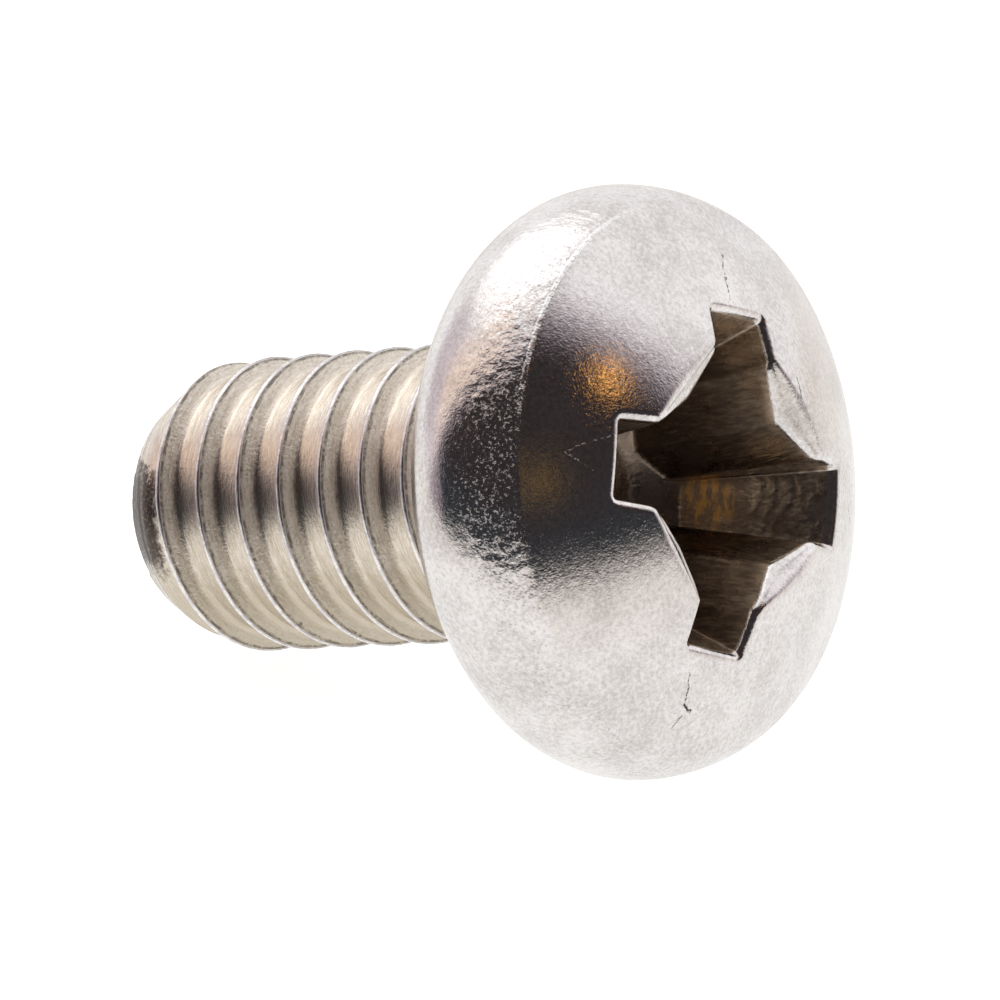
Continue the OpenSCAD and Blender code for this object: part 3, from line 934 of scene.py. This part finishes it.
class RolledThread(Finish):
    """Stainless steel drawn between rolling dies.

    Rolling gives the eye bright, slightly ragged crests, torn flanks and smooth roots that are streaked
    along the thread, with a dark line of painted shade in the fold beside the crests. The shank is browner
    than the head, and it is painted darker and browner towards the side it lies on, as painted shade. The
    streaks are drawn at 0.03 mm, since finer ones wouldn't show.
    """

    name: str = "rolled stainless steel"
    crest: str = "F6F2F0"
    crest_dull: str = "DCD6DA"
    root: str = "F0E6DA"
    root_dull: str = "DACDBD"
    flank: str = "FAF2E8"
    flank_dull: str = "D0C4B5"
    # Colour of the painted shade towards the underside.
    painted_light: str = "BDB19B"
    # Colour of the painted dark reflection on the last turn.
    stain: str = "564C47"
    # Colour of the tears, and of the painted shade in the fold.
    dirt_and_shade: str = "675C52"
    streak_mm: float = 0.03
    grain_mm: float = 0.045
    wave_mm: float = 0.16
    relief_mm: float = 0.014
    tear: tuple[Mark, ...] = (
        Mark(((-1.851, -0.426, -5.169), (-1.86, -0.388, -5.056), (-1.849, -0.436, -4.861)), 0.05),
        Mark(((-1.04, -1.172, -6.085), (-1.043, -1.453, -5.703), (-1.057, -1.578, -5.449)), 0.035, 0.035),
        Mark(((0.36, -1.685, -5.815), (0.337, -1.87, -5.508), (0.402, -1.857, -5.398)), 0.02, 0.03),
        Mark(((0.528, -1.825, -5.325), (0.689, -1.771, -5.299), (0.839, -1.705, -5.28)), 0.025, 0.03),
        Mark(((0.986, -1.624, -3.241), (1.028, -1.598, -3.483), (1.166, -1.5, -3.693),
              (1.342, -1.345, -3.838)), 0.02))

    def build(self) -> dict[str, Feed]:
        """Adds streaks along the thread, torn flanks, painted shade in the fold beside the crest and towards
        the underside, a painted dark reflection on the last turn, and tears.

        Returns:
            The inputs of the shader.
        """
        add = partial(add_node, self.tree)
        x, y, z = add(Node.SPLIT, self.own).node.outputs
        angle = add(Node.ANGLE, y, x)
        drawn = add(Node.POINT, add(Node.TIMES, angle, 0.25), self.from_axis(),
                    add(Node.MINUS, z, add(Node.TIMES, angle, RolledShank.pitch / math.tau)))
        streak = add(Node.NOISE, drawn, 1 / self.streak_mm, 4.0, 0.7)
        grain = add(Node.NOISE, self.own, 1 / self.grain_mm, 4.0, 0.75)
        wave = add(Node.MINUS, add(Node.NOISE, self.own, 1 / self.wave_mm, 4.0, 0.7), 0.5)
        high, side = [add(Node.READ, attribute_name=name) for name in ("crest", "side")]
        ragged = add(Node.PLUS, high, add(Node.TIMES, add(Node.MINUS, grain, 0.5), 0.12))
        torn = add(Node.TIMES, add(Node.STEP, ragged, 0.0, 0.5), add(Node.STEP, high, 0.985, 0.9))
        torn = add(Node.TIMES, torn, add(Node.STEP, side, -0.1, 0.1))
        shade = add(Node.PLUS, add(Node.TIMES, streak, 0.5), add(Node.TIMES, grain, 0.5))
        flank = add(Node.TINT, add(Node.STEP, shade, 0.36, 0.62), self.flank_dull, self.flank)
        root = add(Node.TINT, add(Node.STEP, streak, 0.35, 0.65), self.root_dull, self.root)
        colour = add(Node.TINT, torn, root, flank)
        # Painted shade: darker and browner towards the underside, the side the screw lies on.
        lower = add(Node.STEP, add(Node.PLUS, x, wave), 0.0, 0.8, 0.0, 0.65)
        colour = add(Node.TINT, lower, colour, self.painted_light)
        top = add(Node.STEP, add(Node.PLUS, ragged, add(Node.TIMES, wave, 0.16)), 0.88, 0.95)
        crest = add(Node.TINT, add(Node.STEP, wave, -0.1, 0.1), self.crest_dull, self.crest)
        colour = add(Node.TINT, top, colour, crest)
        # Painted reflection: a dark patch on the last turn, on the side that faces the camera.
        colour = add(Node.TINT, self.painted_end_reflection(x, y, z, wave, grain), colour, self.stain)
        # Painted shade: a dark line in the fold beside the crest, on the side towards the head, in the
        # colour of the tears.
        folded_at = add(Node.PLUS, high, add(Node.TIMES, add(Node.MINUS, streak, 0.5), 0.45))
        fold = add(Node.TIMES, add(Node.STEP, high, 0.92, 0.87), add(Node.STEP, folded_at, 0.72, 0.8))
        fold = add(Node.TIMES, fold, add(Node.STEP, side, 0.0, 0.2))
        fold = add(Node.TIMES, fold, add(Node.STEP, add(Node.PLUS, grain, wave), 0.3, 0.6, 0.15, 0.85))
        colour = add(Node.TINT, add(Node.MOST, fold, self.marks(self.tear)), colour, self.dirt_and_shade)
        height = add(Node.PLUS, add(Node.TIMES, streak, 0.4),
                     add(Node.TIMES, grain, add(Node.PLUS, torn, 0.3)))
        return {"Base Color": colour, "Roughness": add(Node.PLUS, 0.18, add(Node.TIMES, torn, 0.22)),
                "Normal": add(Node.BUMP, height, self.relief_mm * MM, 1.0)}

    def painted_end_reflection(self, x: Socket, y: Socket, z: Socket, wave: Socket, grain: Socket) -> Socket:
        """Adds a painted dark reflection on the last turn, on the side that faces the camera.

        Args:
            x: how far down a shading point is.
            y: how far from the camera it is.
            z: how near the head it is.
            wave: broad noise that bends the stain's edge.
            grain: fine noise that breaks it up.

        Returns:
            The mask of the painted reflection.
        """
        add = partial(add_node, self.tree)
        bent = add(Node.PLUS, x, wave)
        mask = add(Node.STEP, add(Node.PLUS, z, add(Node.TIMES, wave, 0.5)), -5.5, -5.65)
        mask = add(Node.TIMES, mask, add(Node.STEP, bent, -1.1, -0.9))
        mask = add(Node.TIMES, mask, add(Node.STEP, bent, 0.5, 0.1))
        mask = add(Node.TIMES, mask, add(Node.STEP, y, -0.6, -1.1))
        return add(Node.TIMES, mask, add(Node.STEP, grain, 0.25, 0.5, 0.6, 1.0))


@dataclass(frozen=True)
class Screw:
    """The whole screw as one closed mesh."""

    head: PanHead = PanHead()
    shank: RolledShank = RolledShank()

    def build(self, lay: Lay) -> bpy.types.Object:
        """Joins head, thread and end into one piece.

        Args:
            lay: how the screw lies.

        Returns:
            The finished object.
        """
        rolled = RolledThread(lay).material
        materials = {Skin.HEAD: TumbledHead(lay).material, Skin.RECESS: PunchedRecess(lay).material,
                     Skin.THREAD: rolled, Skin.END: rolled}
        thread = self.shank.mesh(rolled)
        mesh = bmesh.new()
        layers = {name: mesh.verts.layers.float.new(name) for name in ("crest", "side", "deep")}
        self.skin_rings(mesh, layers, self.head.rings())
        self.skin_rings(mesh, layers, self.shank.end_rings())
        self.copy_thread(mesh, layers, thread)
        bmesh.ops.remove_doubles(mesh, verts=mesh.verts, dist=WELD_MM)
        bmesh.ops.recalc_face_normals(mesh, faces=mesh.faces)
        if mesh.calc_volume(signed=True) < 0:
            bmesh.ops.reverse_faces(mesh, faces=mesh.faces)
        open_edges = sum(1 for edge in mesh.edges if len(edge.link_faces) != 2)
        mesh.transform(lay.matrix())
        data = bpy.data.meshes.new("machine_screw_steel")
        mesh.to_mesh(data)
        mesh.free()
        for skin in Skin:
            data.materials.append(materials[skin])
        data.shade_smooth()
        piece = bpy.data.objects.new("machine_screw_steel", data)
        bpy.context.scene.collection.objects.link(piece)
        LOG.info("machine_screw_steel: %d points, %d faces, %d open edges", len(data.vertices),
                 len(data.polygons), open_edges)
        return piece

    @staticmethod
    def skin_rings(mesh: bmesh.types.BMesh, layers: dict, rings: Rings) -> None:
        """Skins rings into strips and closes the first one with a fan.

        Args:
            mesh: the screw so far.
            layers: its attributes by name.
            rings: the rings, from a middle outwards.
        """
        rows = []
        for ring, depth in zip(rings.points, rings.deep):
            row = [mesh.verts.new(point) for point in ring]
            for vert in row:
                vert[layers["deep"]] = depth
            rows.append(row)
        middle = mesh.verts.new(rings.points[0].mean(axis=0))
        middle[layers["deep"]] = rings.deep[0]
        for k, vert in enumerate(rows[0]):
            face = mesh.faces.new((middle, vert, rows[0][(k + 1) % AROUND]))
            face.material_index = rings.skin[0].value
        for low, high, skin in zip(rows, rows[1:], rings.skin[1:]):
            for k in range(AROUND):
                n = (k + 1) % AROUND
                face = mesh.faces.new((low[k], high[k], high[n], low[n]))
                face.material_index = skin.value

    @staticmethod
    def copy_thread(mesh: bmesh.types.BMesh, layers: dict, thread: bpy.types.Mesh) -> None:
        """Copies the thread's mesh, with what its finish needs, into the screw's.

        Args:
            mesh: the screw so far.
            layers: its attributes by name.
            thread: the wound thread.
        """
        crest = thread.attributes["crest"].data
        side = thread.attributes["side"].data
        verts = []
        for k, vertex in enumerate(thread.vertices):
            vert = mesh.verts.new(vertex.co)
            vert[layers["crest"]], vert[layers["side"]] = crest[k].value, side[k].value
            verts.append(vert)
        for polygon in thread.polygons:
            face = mesh.faces.new([verts[k] for k in polygon.vertices])
            face.material_index = Skin.THREAD.value


@dataclass(frozen=True)
class Lamp:
    """A round patch of light in the room: its direction, its half width in degrees, and its light."""

    way: tuple[float, float, float]
    size: float
    colour: str
    strength: float


@dataclass(frozen=True)
class Studio:
    """A white table under soft light, with the darker side of the room behind the camera."""

    azimuth: float = 35.76
    elevation: float = 23.22
    lens_mm: float = 223.5
    distance: float = 80.0
    right_mm: float = 0.857
    up_mm: float = 0.18
    table_half_m: float = 0.5
    lamps: tuple[Lamp, ...] = (
        Lamp((-0.53, 0.24, 0.81), 30, "FFFFFF", 1.6),
        Lamp((-0.36, 0.9, 0.25), 32, "FFFFFF", 0.95),
        Lamp((-0.943, -0.174, 0.284), 26, "DDD3D8", 1.0),
        Lamp((0.768, 0.218, 0.602), 2.5, "FFB85A", 4.8),
        Lamp((0.874, -0.29, 0.39), 6.0, "6E5A3A", 1.0))

    def axes(self) -> tuple[Vector, Vector, Vector]:
        """Gives the camera's axes.

        Returns:
            The directions right, up and back.
        """
        a, e = math.radians(self.azimuth), math.radians(self.elevation)
        back = Vector((math.sin(a) * math.cos(e), -math.cos(a) * math.cos(e), math.sin(e)))
        right = Vector((math.cos(a), math.sin(a), 0))
        return right, back.cross(right), back

    def camera(self, lay: Lay) -> None:
        """Sets the camera at the viewing angle of a close-up from the head's side.

        Args:
            lay: how the screw lies.
        """
        right, up, back = self.axes()
        camera = bpy.data.objects.new("camera", bpy.data.cameras.new("camera"))
        bpy.context.scene.collection.objects.link(camera)
        offset = back * self.distance - right * self.right_mm - up * self.up_mm
        camera.matrix_world = Matrix.Translation(lay.centre + offset * MM) @ Matrix(
            (right, up, back)).transposed().to_4x4()
        camera.data.lens = self.lens_mm
        camera.data.clip_start, camera.data.clip_end = 0.001, 10.0
        bpy.context.scene.camera = camera

    def world(self) -> None:
        """Lights the screw from a white tent that is open between its table and its leaning top."""
        world = bpy.data.worlds.new("studio")
        bpy.context.scene.world = world
        world.use_nodes = True
        tree = world.node_tree
        add = partial(add_node, tree)
        right, up, back = self.axes()
        way = add(Node.WAY)
        top, level, left, behind = [add(Node.DOT, way, axis) for axis in (
            up - back, Vector((0, 0, 1)), -right, back)]
        # The table's edge as the steel mirrors it, a little lower towards the left.
        edge = add(Node.MINUS, add(Node.TIMES, add(Node.STEP, left, -0.3, 0.7), -0.13), 0.04)
        above = add(Node.STEP, add(Node.MINUS, level, edge), -0.025, 0.025)
        room = add(Node.TINT, add(Node.STEP, top, 0.46, 0.19), "FFFFFF", "CFC6CC")
        room = add(Node.TINT, add(Node.STEP, top, 0.31, 0.12), room, "A0959B")
        night = add(Node.TINT, add(Node.STEP, level, 0.3, 0.0), "363132", "35393E")
        opening = add(Node.TIMES, add(Node.STEP, top, 0.2, -0.01), add(Node.STEP, behind, 0.03, 0.14))
        room = add(Node.TINT, opening, room, night)
        table = add(Node.TINT, add(Node.STEP, level, -0.5, 0.0), "FFFFFD", "EAE3DC")
        room = add(Node.TINT, above, table, room)
        for lamp in self.lamps:
            near = add(Node.DOT, way, Vector(lamp.way).normalized())
            spread = add(Node.STEP, near, math.cos(math.radians(lamp.size)),
                         math.cos(math.radians(lamp.size * 0.5)))
            room = add(Node.TINT, spread, room, linear(lamp.colour, lamp.strength))
        # A warm wall to the left, between the opening and the top of the tent.
        warm = add(Node.TIMES, add(Node.TIMES, add(Node.STEP, left, 0.2, 0.5),
                                   add(Node.STEP, behind, -0.25, 0.05)),
                   add(Node.TIMES, add(Node.STEP, top, 0.15, 0.35), add(Node.STEP, top, 0.8, 0.45)))
        room = add(Node.TINT, warm, room, linear("FFE9D8", 1.1))
        light = tree.nodes["Background"]
        feed(tree, light.inputs["Color"], add(Node.TINT, add(Node.SEEN), room, "FFFFFF"))
        light.inputs["Strength"].default_value = 1.0

    def floor(self) -> None:
        """Lays a white table under the screw; in the steel's mirror the room shows in its place."""
        half = self.table_half_m
        mesh = bpy.data.meshes.new("table_top")
        mesh.from_pydata([(-half, -half, 0), (half, -half, 0), (half, half, 0), (-half, half, 0)], [],
                         [(0, 1, 2, 3)])
        floor = bpy.data.objects.new("table_top", mesh)
        bpy.context.scene.collection.objects.link(floor)
        material = bpy.data.materials.new("white acrylic table")
        material.use_nodes = True
        tree = material.node_tree
        tree.nodes.clear()
        add = partial(add_node, tree)
        lit = add(Node.BOTH, add(Node.DULL, "D8D8D8"), add(Node.GLOW, "FFFFFF", 0.82))
        both = add(Node.EITHER, add(Node.MIRRORED), lit, add(Node.CLEAR))
        feed(tree, tree.nodes.new("ShaderNodeOutputMaterial").inputs["Surface"], both)
        mesh.materials.append(material)

    def build(self, lay: Lay) -> None:
        """Builds camera, light and table.

        Args:
            lay: how the screw lies.
        """
        self.camera(lay)
        self.world()
        self.floor()
        bpy.context.scene.view_settings.view_transform = "Standard"


def main() -> None:
    """Builds the screw and its studio."""
    logging.basicConfig(level=logging.INFO, format="%(message)s")
    lay = Lay.from_record(frame["record"])
    piece = Screw().build(lay)
    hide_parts("machine_screw")
    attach(piece, "root")
    Studio().build(lay)
    bpy.context.view_layer.update()


if __name__ == "__main__":
    main()
